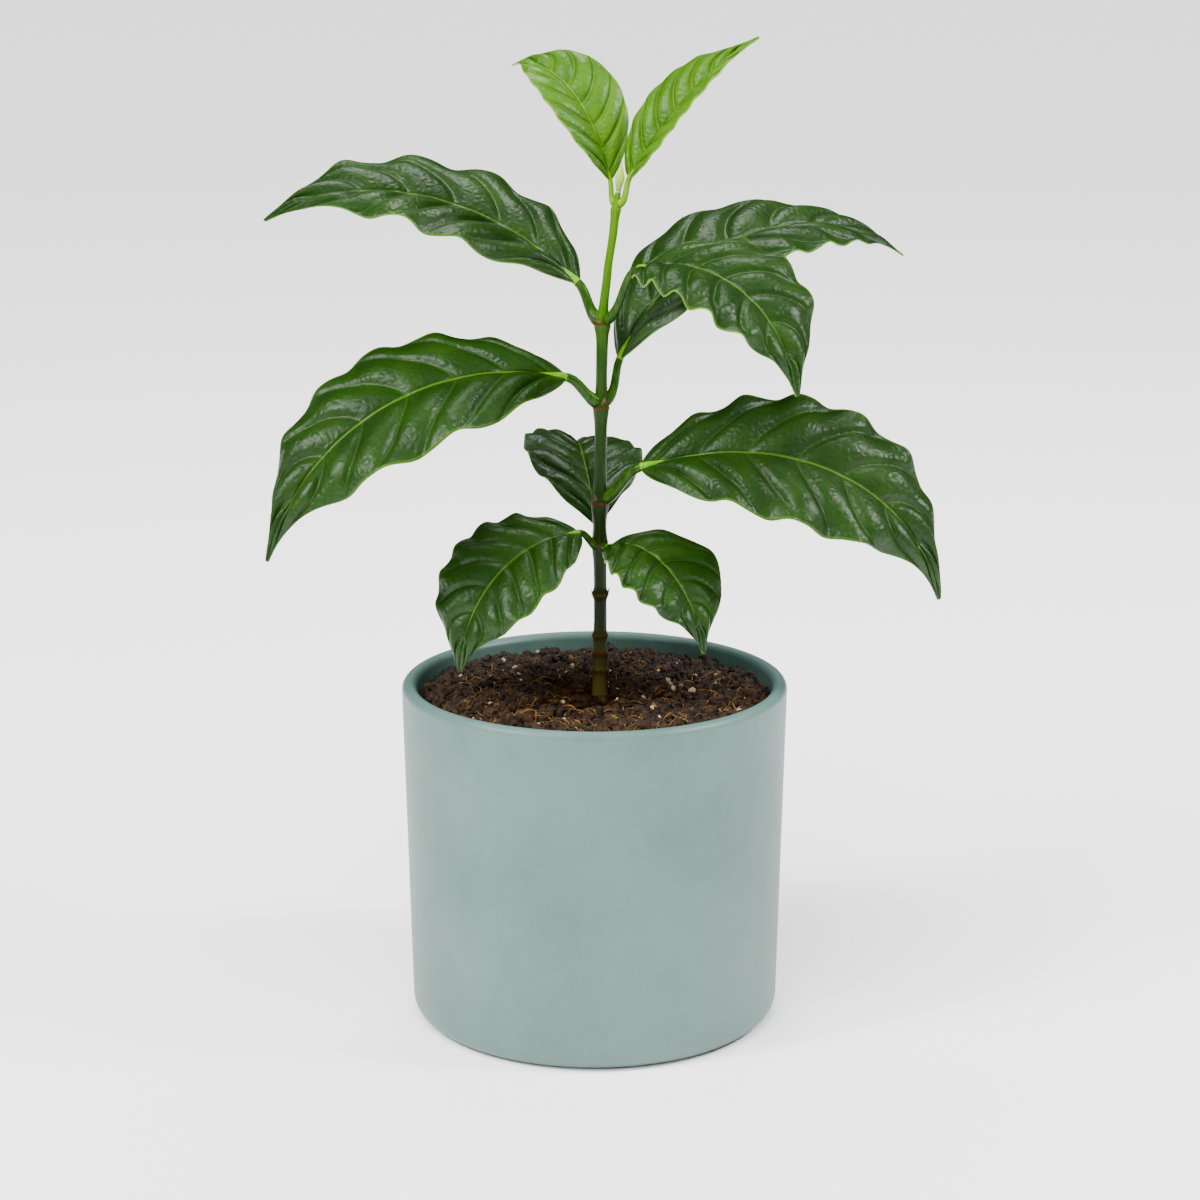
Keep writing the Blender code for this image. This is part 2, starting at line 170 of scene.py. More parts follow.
# %% Expressions on sockets
class Value:
    """One output socket of a material's nodes, with Python's operators."""

    def __init__(self, tree, socket):
        self.tree = tree
        self.socket = socket

    def node(self, kind, values, settings=(), output=0):
        """Adds a node: its settings first, then the values or links of its sockets."""
        made = self.tree.nodes.new(kind)
        for name, setting in dict(settings).items():
            if name == "stops":
                ramp = made.color_ramp.elements
                while len(ramp) < len(setting):
                    ramp.new(0.5)
                for element, (place, colour) in zip(ramp, setting):
                    element.position = place
                    element.color = (*colour, 1.0)
            else:
                setattr(made, name, setting)
        for key, value in dict(values).items():
            if isinstance(value, Value):
                self.tree.links.new(value.socket, made.inputs[key])
            else:
                made.inputs[key].default_value = value
        return Value(self.tree, made.outputs[output])

    def math(self, operation, *others):
        return self.node("ShaderNodeMath", enumerate((self, *others)), {"operation": operation})

    def __add__(self, other):
        return self.math("ADD", other)

    def __radd__(self, other):
        return self.math("ADD", other)

    def __sub__(self, other):
        return self.math("SUBTRACT", other)

    def __rsub__(self, other):
        return self.node("ShaderNodeMath", {0: other, 1: self}, {"operation": "SUBTRACT"})

    def __mul__(self, other):
        return self.math("MULTIPLY", other)

    def __rmul__(self, other):
        return self.math("MULTIPLY", other)

    def __truediv__(self, other):
        return self.math("DIVIDE", other)

    def __pow__(self, other):
        return self.math("POWER", other)

    def fract(self):
        return self.math("FRACT")

    def size(self):
        return self.math("ABSOLUTE")

    def step(self, low, high):
        """0 up to low, 1 from high, smooth between."""
        return self.node("ShaderNodeMapRange", {0: self, 1: low, 2: high},
                         {"interpolation_type": "SMOOTHSTEP"})

    def mix(self, first, second):
        """From the first colour to the second as this value goes from 0 to 1."""
        return self.node("ShaderNodeMix", {0: self, 6: first, 7: second}, {"data_type": "RGBA"}, 2)

    def noise(self, scale, detail=4.0, roughness=0.55):
        return self.node("ShaderNodeTexNoise", {"Vector": self, "Scale": scale, "Detail": detail,
                                                "Roughness": roughness})

    def cell_edges(self, scale):
        """The distance to the nearest edge between the cells of a Voronoi pattern."""
        return self.node("ShaderNodeTexVoronoi", {"Vector": self, "Scale": scale},
                         {"feature": "DISTANCE_TO_EDGE"})

    def stretched(self, scale):
        return self.node("ShaderNodeVectorMath", {0: self, 1: scale}, {"operation": "MULTIPLY"})

    def bump(self, strength, distance):
        return self.node("ShaderNodeBump", {"Height": self, "Strength": strength, "Distance": distance})


def rgb(red, green, blue):
    return (red, green, blue, 1.0)


def new_material(name):
    """A Principled material, its shader and its Object coordinates."""
    made = bpy.data.materials.new(name)
    made.use_nodes = True
    tree = made.node_tree
    shader = tree.nodes["Principled BSDF"]
    place = Value(tree, tree.nodes.new("ShaderNodeTexCoord").outputs["Object"])
    return made, shader, place


def uv_of(place):
    """The piece's UV map as two Values."""
    uv = Value(place.tree, place.tree.nodes.new("ShaderNodeUVMap").outputs["UV"])
    return (uv.node("ShaderNodeSeparateXYZ", {0: uv}), uv.node("ShaderNodeSeparateXYZ", {0: uv}, (), 1))


def feed(shader, **values):
    for name, value in values.items():
        key = name.replace("_", " ")
        if isinstance(value, Value):
            value.tree.links.new(value.socket, shader.inputs[key])
        else:
            shader.inputs[key].default_value = value


# %% [markdown]
# ## Leaf materials
# A blade is darkest between its veins, with paler veins and a pale margin. A painted picture
# could show that, but a pattern on the sheet's own UV map follows a leaf of any length.
# Lateral veins leave the midrib and arch towards the tip. U runs along the blade and V across.


# %% Leaf materials
def vein_phase(along, across):
    """Whole numbers lie on the lateral veins. It takes numbers or Values."""
    return (along - VEIN_START - VEIN_REACH * across ** VEIN_ARCH) * VEINS


def leaf_material(name, deep, light, vein, margin, roughness, underside=False):
    made, shader, place = new_material(name)
    along, v = uv_of(place)
    across = (v * 2.0 - 1.0).size()
    phase = vein_phase(along, across)
    from_vein = ((phase + 0.5).fract() - 0.5).size()
    lateral = (1.0 - from_vein.step(0.004, 0.045)) * (1.0 - across.step(0.60, 0.95))
    middle = 1.0 - across.step(0.012, 0.030)
    mesh = place.cell_edges(430.0)
    fine = 1.0 - mesh.step(0.0, 0.12)
    cloud = place.noise(75.0).step(0.35, 0.68)
    colour = cloud.mix(rgb(*deep), rgb(*light))
    colour = (lateral * 0.30 + fine * 0.05).mix(colour, rgb(*vein))
    colour = middle.mix(colour, rgb(*margin))
    colour = (across.step(0.955, 0.985) * 0.75).mix(colour, rgb(*margin))
    blister = mesh.step(0.0, 0.50) * 0.25 + place.noise(150.0, 1.5) * 0.35
    height = blister + from_vein.step(0.0, 0.22) * 0.9 + across.step(0.0, 0.06) * 0.5
    feed(shader, Base_Color=colour, Roughness=roughness + place.noise(160.0) * 0.12,
         Normal=height.bump(0.6, 0.0009))
    feed(shader, Coat_Roughness=0.06, Coat_Weight=0.0 if underside else 0.14, Specular_IOR_Level=0.28)
    return made


def rib_material(name, colour, tinge):
    made, shader, place = new_material(name)
    streak = place.stretched((1.0, 1.0, 0.35)).noise(700.0, 3.0)
    feed(shader, Base_Color=streak.step(0.35, 0.7).mix(rgb(*colour), rgb(*tinge)),
         Roughness=0.30 + streak * 0.14, Normal=streak.bump(0.25, 0.0002))
    feed(shader, Specular_IOR_Level=0.18)
    return made


DARK = leaf_material("dark_leaf_look", (0.0003, 0.0046, 0.0), (0.0009, 0.0105, 0.0),
                     (0.010, 0.044, 0.0), (0.070, 0.210, 0.0), 0.08)
MEDIUM = leaf_material("medium_leaf_look", (0.0018, 0.0160, 0.0), (0.0055, 0.0320, 0.0),
                       (0.030, 0.090, 0.0), (0.110, 0.260, 0.0), 0.10)
YOUNG = leaf_material("young_leaf_look", (0.014, 0.068, 0.0), (0.030, 0.112, 0.0),
                      (0.085, 0.195, 0.0), (0.135, 0.280, 0.0), 0.15)
UNDER = leaf_material("leaf_underside_look", (0.0045, 0.022, 0.0004), (0.0090, 0.034, 0.0008),
                      (0.026, 0.068, 0.0020), (0.036, 0.090, 0.0020), 0.38, underside=True)
UNDER_YOUNG = leaf_material("young_underside_look", (0.026, 0.090, 0.0002), (0.045, 0.130, 0.0006),
                            (0.095, 0.195, 0.0020), (0.120, 0.230, 0.0020), 0.38, underside=True)
RIB = rib_material("rib_look", (0.060, 0.190, 0.0), (0.110, 0.270, 0.0005))
STALK = rib_material("stalk_look", (0.0060, 0.030, 0.0002), (0.020, 0.062, 0.0005))
YOUNG_RIB = rib_material("young_rib_look", (0.085, 0.200, 0.0006), (0.130, 0.260, 0.0010))


# %% [markdown]
# ## Small helpers for meshes
# Three steps come back on every piece: a sheet placed by a rule, a tube along a line, and a
# join. A grid primitive brings its own UV map, so the leaves, the stem and the bed start as one.


# %% Mesh helpers
def read_off(line, at):
    places, values = zip(*line)
    return np.interp(at, places, values)


def smooth_step(low, high, value):
    t = np.clip((value - low) / (high - low), 0.0, 1.0)
    return t * t * (3.0 - 2.0 * t)


def only(obj):
    """Makes this the one selected and active object."""
    bpy.ops.object.select_all(action="DESELECT")
    obj.select_set(True)
    bpy.context.view_layer.objects.active = obj
    return obj


def apply_modifier(obj, kind, **settings):
    only(obj)
    modifier = obj.modifiers.new(kind.lower(), kind)
    for name, value in settings.items():
        setattr(modifier, name, value)
    bpy.ops.object.modifier_apply(modifier=modifier.name)


def sheet(name, rows, columns, place_of):
    """A grid primitive whose points are placed by a function of two shares, 0 to 1."""
    bpy.ops.object.select_all(action="DESELECT")
    bpy.ops.mesh.primitive_grid_add(x_subdivisions=rows, y_subdivisions=columns, size=1.0)
    obj = bpy.context.object
    obj.name = name
    flat = np.empty(len(obj.data.vertices) * 3, np.float32)
    obj.data.vertices.foreach_get("co", flat)
    flat = flat.reshape(-1, 3)
    placed = place_of(flat[:, 0] + 0.5, flat[:, 1] + 0.5)
    obj.data.vertices.foreach_set("co", placed.astype(np.float32).ravel())
    obj.data.update()
    return obj


def join(target, others):
    bpy.ops.object.select_all(action="DESELECT")
    for obj in (target, *others):
        obj.select_set(True)
    bpy.context.view_layer.objects.active = target
    bpy.ops.object.join()
    return target


def tube(name, points, radii, ups, sides=TUBE_SIDES, flat=1.0):
    """A closed tube through points, with a radius and an up vector at each."""
    points, radii, ups = np.asarray(points), np.asarray(radii)[:, None, None], np.asarray(ups)
    along = np.gradient(points, axis=0)
    along /= np.linalg.norm(along, axis=1, keepdims=True)
    across = np.cross(along, ups)
    across /= np.linalg.norm(across, axis=1, keepdims=True)
    above = np.cross(across, along)
    a = np.linspace(0.0, 2 * math.pi, sides, endpoint=False)[None, :, None]
    rings = points[:, None] + radii * (np.cos(a) * across[:, None] + flat * np.sin(a) * above[:, None])
    count = len(points)
    faces = [(r * sides + i, r * sides + (i + 1) % sides, (r + 1) * sides + (i + 1) % sides,
              (r + 1) * sides + i) for r in range(count - 1) for i in range(sides)]
    faces += [tuple(range(sides))[::-1], tuple(range((count - 1) * sides, count * sides))]
    mesh = bpy.data.meshes.new(name)
    mesh.from_pydata(rings.reshape(-1, 3).tolist(), [], faces)
    obj = bpy.data.objects.new(name, mesh)
    bpy.context.scene.collection.objects.link(obj)
    only(obj)
    bpy.ops.object.mode_set(mode="EDIT")
    bpy.ops.mesh.select_all(action="SELECT")
    bpy.ops.mesh.normals_make_consistent(inside=False)
    bpy.ops.object.mode_set(mode="OBJECT")
    mesh.shade_smooth()
    return obj


# %% [markdown]
# ## Each leaf
# The midrib is a bent line. The blade is a sheet that stands across it, with waves at its
# margin and pillows between its veins, and a tube is its stalk and its rib. Leaves could be
# sculpted one by one, but one rule with a few values each keeps all ten in step with the solids.
# The sheet's faces point down. Solidify keeps the first look on that side and gives the second
# to the side that faces up, so as it stands each leaf wears its upper look underneath.


# %% Leaf geometry
def plan_direction(degrees):
    a = math.radians(degrees)
    return np.array((math.cos(a), math.sin(a), 0.0))


def stem_centre(z):
    return np.array((float(read_off(STEM_LINE, z)), 0.0, z))


def stem_radius(z):
    swelling = sum(rise * np.exp(-((z - place) / along) ** 2) for place, rise, along in SWELLINGS)
    return read_off(STEM_TAPER, z) + swelling


def outline_share(leaf, s):
    skew = math.log(0.5) / math.log(leaf["widest"])
    ellipse = np.clip(np.sin(math.pi * np.clip(s, 0.0, 1.0) ** skew), 0.0, 1.0) ** leaf["full"]
    return ellipse * (1.0 - TIP_SQUEEZE * smooth_step(1.0 - 2.6 * leaf["drip"], 1.0, s))


def midrib(leaf, steps=ROWS):
    s = np.linspace(0.0, 1.0, steps + 1)
    heading = np.radians(leaf["heading"] + leaf["turn"] * s)
    slope = np.radians(leaf["climb"] - leaf["droop"] * s ** leaf["onset"])
    level_share = np.cos(slope)
    forward = np.stack((np.cos(heading) * level_share, np.sin(heading) * level_share, np.sin(slope)), 1)
    level = np.stack((np.sin(heading), -np.cos(heading), np.zeros_like(s)), 1)
    above = np.cross(level, forward)
    foot = stem_centre(leaf["node"]) + leaf["out"] * plan_direction(leaf["stalk"]) + (0, 0, leaf["up"])
    run = (forward[1:] + forward[:-1]) * 0.5 * leaf["length"] / steps
    points = foot + np.vstack(((0.0, 0.0, 0.0), np.cumsum(run, 0)))
    roll = np.radians(leaf["roll"] + leaf["twist"] * s)[:, None]
    side = level * np.cos(roll) + above * np.sin(roll)
    return s, points, forward, side, np.cross(side, forward)


def margin_wave(margin, share, s):
    count, start, height = margin
    ends = smooth_step(0.0, 0.24, s) * (1.0 - smooth_step(0.70, 0.94, s))
    turns = 2 * math.pi * (count * s + start)
    return height * ends * share ** WAVE_POWER * (np.sin(turns) + 0.10 * np.sin(2.3 * turns + 1.0))


def blade(leaf):
    _, points, _, side, up = midrib(leaf)

    def place_of(along, v):
        share = 2.0 * v - 1.0
        wide = np.abs(share)
        row = np.rint(along * ROWS).astype(int)
        half_width = leaf["half_width"] * outline_share(leaf, along) + TIP_HALF_WIDTH
        right = share > 0
        fold = np.radians(np.where(right, leaf["fold"][1], leaf["fold"][0]))
        soft = wide * wide / (wide + 0.05)
        right_wave = margin_wave(leaf["right"], wide, along)
        left_wave = margin_wave(leaf["left"], wide, along)
        wave = np.where(right, right_wave, left_wave)
        wave *= YOUNG_WAVE if leaf["name"] in YOUNG_LEAVES else FULL_WAVE
        ends = smooth_step(0.0, 0.10, along) * (1.0 - smooth_step(0.86, 1.0, along))
        pillow = np.abs(np.sin(math.pi * vein_phase(along, wide))) ** 0.7
        dome = np.sin(math.pi * np.clip(wide, 0, 1) ** 0.8)
        quilt = PILLOW * ends * pillow * dome * (leaf["length"] / PILLOW_LEAF_LENGTH)
        bulge = 0.05 * half_width * np.sin(math.pi * wide)
        lift = soft * half_width * np.sin(fold) + wave + quilt + bulge * ends
        across = share * half_width * np.cos(fold)
        return points[row] + side[row] * across[:, None] + up[row] * lift[:, None]

    return sheet(leaf["name"] + "_blade", ROWS, COLUMNS, place_of)


def rib(leaf):
    """The stalk from beside the stem to the blade, then the rib along it, sunk in its underside."""
    s, points, forward, _, up = midrib(leaf, RIB_STEPS)
    outwards = plan_direction(leaf["stalk"])
    start = stem_centre(leaf["node"]) + 0.55 * stem_radius(leaf["node"]) * outwards
    reach = np.linalg.norm(points[0] - start)
    leave = (outwards + (0, 0, 0.5)) * reach
    arrive = forward[0] * reach
    t = np.linspace(0.0, 1.0, STALK_RINGS, endpoint=False)[:, None]
    stalk = ((2 * t**3 - 3 * t**2 + 1) * start + (t**3 - 2 * t**2 + t) * leave
             + (3 * t**2 - 2 * t**3) * points[0] + (t**3 - t**2) * arrive)
    radius = leaf["thick"] * (0.08 + 0.92 * (1.0 - s) ** 1.3) * (1.0 - 0.60 * smooth_step(0.0, 0.08, s))
    sunk = points - up * (smooth_step(0.0, 0.12, s) * (radius * 0.40))[:, None]
    swell = 1.0 + 0.30 * (1.0 - smooth_step(0.0, 0.4, t[:, 0]))
    stalk_radius = leaf["thick"] * (1.22 - 0.22 * t[:, 0]) * swell
    ups = np.vstack((np.repeat([(0.0, 0.0, 1.0)], len(t), 0) * (1 - t) + up[0] * t, up))
    radii = np.concatenate((stalk_radius, radius))
    return tube(leaf["name"] + "_rib", np.vstack((stalk, sunk)), radii, ups)


def age_of(leaf):
    if leaf["name"] in YOUNG_LEAVES:
        return "young"
    return "medium" if leaf["name"] in MEDIUM_LEAVES else "dark"


BLADE_LOOKS = {"young": (YOUNG, UNDER_YOUNG), "medium": (MEDIUM, UNDER), "dark": (DARK, UNDER)}
STALK_LOOKS = {"young": (YOUNG_RIB, YOUNG_RIB), "medium": (RIB, STALK), "dark": (RIB, STALK)}


def dress_leaf(leaf):
    age = age_of(leaf)
    made = blade(leaf)
    for look in BLADE_LOOKS[age]:
        made.data.materials.append(look)
    apply_modifier(made, "SOLIDIFY", thickness=BLADE_THICKNESS, offset=0.0, material_offset=1)
    made.data.shade_smooth()
    stalk = rib(leaf)
    for look in STALK_LOOKS[age]:
        stalk.data.materials.append(look)
    for face in stalk.data.polygons[:STALK_RINGS * TUBE_SIDES]:
        face.material_index = 1
    made = join(made, [stalk])
    made.name = leaf["name"] + "_fine"
    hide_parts(leaf["name"])
    age + "_leaf"
    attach(made, "root")


for leaf_values in LEAVES:
    dress_leaf(leaf_values)
print("leaves made:", len(LEAVES))

# %% [markdown]
# ## The stem
# Green near the top, olive lower down, with raised ring scars where older leaves fell. A
# bevelled curve could give the stem, but a sheet closed round a leaning line takes scars and
# grooves as part of its radius.


# %% Stem
def stem_material():
    made, shader, place = new_material("stem_look")
    z = place.node("ShaderNodeSeparateXYZ", {0: place}, (), 2)
    streak = place.stretched((1.0, 1.0, 0.12)).noise(900.0, 4.0)
    height = (z - SOIL_LEVEL) / (STEM_TOP - SOIL_LEVEL)
    wander = height + (place.noise(160.0) - 0.5) * 0.10
    colour = wander.node("ShaderNodeValToRGB", {0: wander}, {"stops": (
        (0.0, (0.060, 0.042, 0.010)), (0.07, (0.036, 0.034, 0.005)), (0.16, (0.007, 0.014, 0.0005)),
        (0.40, (0.0035, 0.0150, 0.0)), (0.68, (0.008, 0.034, 0.0)), (0.80, (0.032, 0.105, 0.0)),
        (1.0, (0.065, 0.165, 0.0)))})
    scar = 0.0
    for ring in RING_SCARS:
        scar = (1.0 - ((z - ring) + (place.noise(420.0) - 0.5) * 0.0016).size().step(0.0002, 0.0009)) + scar
    colour = (scar * 0.85).step(0.0, 1.0).mix(colour, rgb(0.040, 0.010, 0.002))
    colour = (streak.step(0.45, 0.75) * 0.25).mix(colour, rgb(0.030, 0.050, 0.003))
    feed(shader, Base_Color=colour, Roughness=0.30 + streak * 0.20,
         Normal=(streak + place.noise(1500.0) * 0.4).bump(0.25, 0.0003))
    feed(shader, Specular_IOR_Level=0.12)
    return made


def stem():
    def place_of(along, v):
        z = SOIL_LEVEL + CLEAR + along * (STEM_TOP - SOIL_LEVEL - CLEAR)
        a = v * 2 * math.pi
        scars = sum(0.00022 * np.exp(-((z - ring - 0.0003 * np.sin(2 * a + ring * 900)) / 0.00035) ** 2)
                    for ring in RING_SCARS)
        grooves = 0.00005 * np.sin(7 * a + 3 * np.sin(z * 120)) + 0.00004 * np.sin(12 * a + z * 300)
        r = stem_radius(z) + scars + grooves
        x = read_off(STEM_LINE, z)
        return np.stack((x + r * np.cos(a), r * np.sin(a), z), 1)

    made = sheet("stem_fine", 420, 48, place_of)
    only(made)
    bpy.ops.object.mode_set(mode="EDIT")
    bpy.ops.mesh.select_all(action="SELECT")
    bpy.ops.mesh.remove_doubles(threshold=0.00001)
    bpy.ops.mesh.select_all(action="DESELECT")
    bpy.ops.mesh.select_non_manifold(extend=False)
    bpy.ops.mesh.fill_holes(sides=0)
    bpy.ops.mesh.select_all(action="SELECT")
    bpy.ops.mesh.normals_make_consistent(inside=False)
    bpy.ops.object.mode_set(mode="OBJECT")
    made.data.shade_smooth()
    made.data.materials.append(stem_material())
    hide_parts("stem")
    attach(made, "root")


stem()
print("stem made, with ring scars:", len(RING_SCARS))

# %% [markdown]
# ## The scales at the nodes
# A pair of small dry scales sits at each node. Flat planes would do from afar, but short
# flattened tubes are closed and have a thickness.


# %% Stipules
def stipules():
    """A pair of small dry scales at each node, where the leaf stalks leave the stem."""
    scales = []
    for node, heading in ((SECOND, 50), (THIRD, 112), (FOURTH, 60), (FIFTH, 150), (OLD_NODE, 20)):
        for turn in (0, 180):
            outwards = plan_direction(heading + turn)
            lift = np.linspace(0.0, 1.0, 9)[:, None]
            reach = float(stem_radius(node)) - 0.00025
            points = stem_centre(node) + outwards * (reach + 0.0009 * lift ** 1.6)
            points = points + (0, 0, 1) * (0.0026 * lift - 0.0006)
            radii = 0.00085 * (1.0 - lift[:, 0]) ** 0.8 + 0.00006
            scales.append(tube("scale", points, radii, np.repeat(outwards[None], 9, 0), 10, 0.30))
    made = join(scales[0], scales[1:])
    made.name = "stipules"
    look, shader, place = new_material("stipule_look")
    grain = place.noise(900.0, 3.0)
    feed(shader, Base_Color=grain.step(0.3, 0.7).mix(rgb(0.040, 0.012, 0.003), rgb(0.110, 0.045, 0.012)),
         Roughness=0.6 + grain * 0.2, Normal=grain.bump(0.4, 0.0003))
    made.data.materials.clear()
    made.data.materials.append(look)
    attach(made, "root")


stipules()
print("scales made")

# %% [markdown]
# ## The bud
# Two young leaves still folded together, in one flattened point. At this size two tubes with a
# squashed section are enough.


# %% Bud
def bud():
    share = np.linspace(0.0, 1.0, 26)
    z = STEM_TOP + CLEAR + share * BUD_HEIGHT
    swell = 0.55 + 0.45 * smooth_step(0.0, 0.45, share) - 0.93 * smooth_step(0.42, 1.0, share)
    points = np.stack((read_off(STEM_LINE, z), np.zeros_like(z), z), 1)
    halves = []
    for offset in (-1, 1):
        centre = points + np.array((0.0, offset * 0.00022, 0.0))
        halves.append(tube("bud_half", centre, BUD_HALF_WIDTH * swell, np.repeat([(0.0, 1.0, 0.0)], 26, 0),
                           24, 0.62 * BUD_HALF_DEPTH / BUD_HALF_WIDTH))
    made, shader, place = new_material("bud_look")
    rise = (place.node("ShaderNodeSeparateXYZ", {0: place}, (), 2) - STEM_TOP) / BUD_HEIGHT
    feed(shader, Base_Color=rise.step(0.0, 0.8).mix(rgb(0.12, 0.24, 0.02), rgb(0.38, 0.50, 0.05)),
         Roughness=0.32 + place.noise(600.0) * 0.15, Normal=place.noise(1400.0).bump(0.3, 0.0002))
    for half in halves:
        half.data.materials.append(made)
    piece = join(halves[0], halves[1:])
    piece.name = "bud_fine"
    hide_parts("terminal_bud")
    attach(piece, "root")


bud()
print("bud made, height in metres:", BUD_HEIGHT)

# %% [markdown]
# ## The pot
# A real one is cast or turned, so an outline is spun round Z here too, with its lip, its inner
# corner and its foot as arcs. The satin glaze has soft clouds of colour.


# %% Pot
def arc(centre_r, centre_z, radius, start, end, steps):
    angles = np.radians(np.linspace(start, end, steps + 1))
    return [(centre_r + radius * math.cos(a), centre_z + radius * math.sin(a)) for a in angles]


def glaze():
    made, shader, place = new_material("glaze_look")
    cloud = place.noise(22.0, 6.0, 0.62)
    fine = place.noise(260.0, 5.0, 0.6)
    speck = place.noise(1500.0, 2.0).step(0.66, 0.76)
    patches = (cloud * 0.75 + fine * 0.25).step(0.34, 0.66)
    colour = patches.mix(rgb(0.055, 0.112, 0.096), rgb(0.078, 0.142, 0.124))
    colour = (speck * 0.35).mix(colour, rgb(0.06, 0.10, 0.09))
    feed(shader, Base_Color=colour, Roughness=0.42 + fine * 0.18,
         Normal=(cloud * 0.5 + fine * 0.35 + place.noise(1200.0) * 0.15).bump(0.18, 0.0006))
    feed(shader, Coat_Weight=0.12, Coat_Roughness=0.35)
    return made


def pot():
    lean = POT_RIM_RADIUS - POT_FOOT_RADIUS
    inner = POT_RIM_RADIUS - POT_WALL
    inner_foot = inner - lean
    lip_top = POT_HEIGHT - LIP_ROUNDING
    outline = [(0.0, POT_FLOOR), (inner_foot - INNER_ROUNDING, POT_FLOOR)]
    outline += arc(inner_foot - INNER_ROUNDING, POT_FLOOR + INNER_ROUNDING, INNER_ROUNDING, -90, 0, 8)[1:]
    outline += arc(inner + LIP_ROUNDING, lip_top, LIP_ROUNDING, 180, 90, 8)
    outline += arc(POT_RIM_RADIUS - LIP_ROUNDING, lip_top, LIP_ROUNDING, 90, 0, 8)
    outline += arc(POT_FOOT_RADIUS - FOOT_ROUNDING, FOOT_ROUNDING, FOOT_ROUNDING, 0, -90, 12)
    outline += [(0.0, 0.0)]
    mesh = bpy.data.meshes.new("pot_fine")
    mesh.from_pydata([(r, 0.0, z) for r, z in outline], [(i, i + 1) for i in range(len(outline) - 1)], [])
    made = bpy.data.objects.new("pot_fine", mesh)
    bpy.context.scene.collection.objects.link(made)
    only(made)
    bpy.ops.object.mode_set(mode="EDIT")
    bpy.ops.mesh.select_all(action="SELECT")
    bpy.ops.mesh.spin(steps=POT_SEGMENTS, angle=2 * math.pi, center=(0, 0, 0), axis=(0, 0, 1))
    bpy.ops.mesh.select_all(action="SELECT")
    bpy.ops.mesh.remove_doubles(threshold=0.00001)
    bpy.ops.mesh.normals_make_consistent(inside=False)
    bpy.ops.object.mode_set(mode="OBJECT")
    made.data.shade_smooth()
    made.data.materials.append(glaze())
    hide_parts("pot")
    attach(made, "root")


pot()
print("pot made, rim radius in metres:", round(POT_RIM_RADIUS, 4))

# %% [markdown]
# ## The potting mix
# A lumpy bed, then loose crumbs, golden fibres and pale bits strewn over it. A bump on the bed
# could stand for them, but their edges catch the light, so they are modelled with few faces.


# %% Potting mix
def soil_height(x, y):
    from_stem = np.hypot(x - STEM_FOOT_X, y)
    lumps = np.sin(x * 260 + 1.0) * np.cos(y * 230) + 0.6 * np.sin(x * 410 - y * 350)
    return SOIL_LEVEL + 0.0009 * lumps * smooth_step(0.0045, 0.012, from_stem)


def soil_material(name, deep, light, scale):
    made, shader, place = new_material(name)
    grain = place.noise(scale, 6.0, 0.65)
    feed(shader, Base_Color=grain.step(0.35, 0.70).mix(rgb(*deep), rgb(*light)),
         Roughness=0.82 + grain * 0.15, Normal=(grain + place.noise(2400.0) * 0.5).bump(0.8, 0.0008))
    return made


def strewn(name, count, sizes, stretch, rng, look, sink):
    """Many crumbs in one mesh: a rough ball, copied, turned, stretched and set on the bed."""
    bpy.ops.object.select_all(action="DESELECT")
    bpy.ops.mesh.primitive_ico_sphere_add(subdivisions=2 if count < 2000 else 1, radius=1.0)
    ball = bpy.context.object
    corners = np.array([v.co[:] for v in ball.data.vertices])
    faces = np.array([p.vertices[:] for p in ball.data.polygons])
    bpy.data.objects.remove(ball, do_unlink=True)
    points = []
    for _ in range(count):
        r = (SOIL_RADIUS - 0.0018) * math.sqrt(rng.uniform(0.006, 1.0))
        a = rng.uniform(0, 2 * math.pi)
        size = rng.uniform(*sizes) * rng.choice((0.6, 0.8, 1.0, 1.35))
        turn, _ = np.linalg.qr(rng.normal(size=(3, 3)))
        scale = size * rng.uniform(1.0 - stretch, 1.0 + stretch, 3)
        rough = corners * rng.uniform(0.72, 1.15, (len(corners), 1))
        x, y = r * math.cos(a), r * math.sin(a)
        x += (1.0 - r / SOIL_RADIUS) * STEM_FOOT_X
        if math.hypot(x - STEM_FOOT_X, y) < 0.0031 + size:
            continue
        points.append((rough * scale) @ turn + (x, y, soil_height(x, y) + size * sink))
    total = len(points)
    flat = np.concatenate(points)
    index = (faces[None] + (np.arange(total) * len(corners))[:, None, None]).reshape(-1, 3)
    mesh = bpy.data.meshes.new(name)
    mesh.from_pydata(flat.tolist(), [], index.tolist())
    made = bpy.data.objects.new(name, mesh)
    bpy.context.scene.collection.objects.link(made)
    only(made)
    bpy.ops.object.mode_set(mode="EDIT")
    bpy.ops.mesh.select_all(action="SELECT")
    bpy.ops.mesh.normals_make_consistent(inside=False)
    bpy.ops.object.mode_set(mode="OBJECT")
    made.data.materials.append(look)
    return made


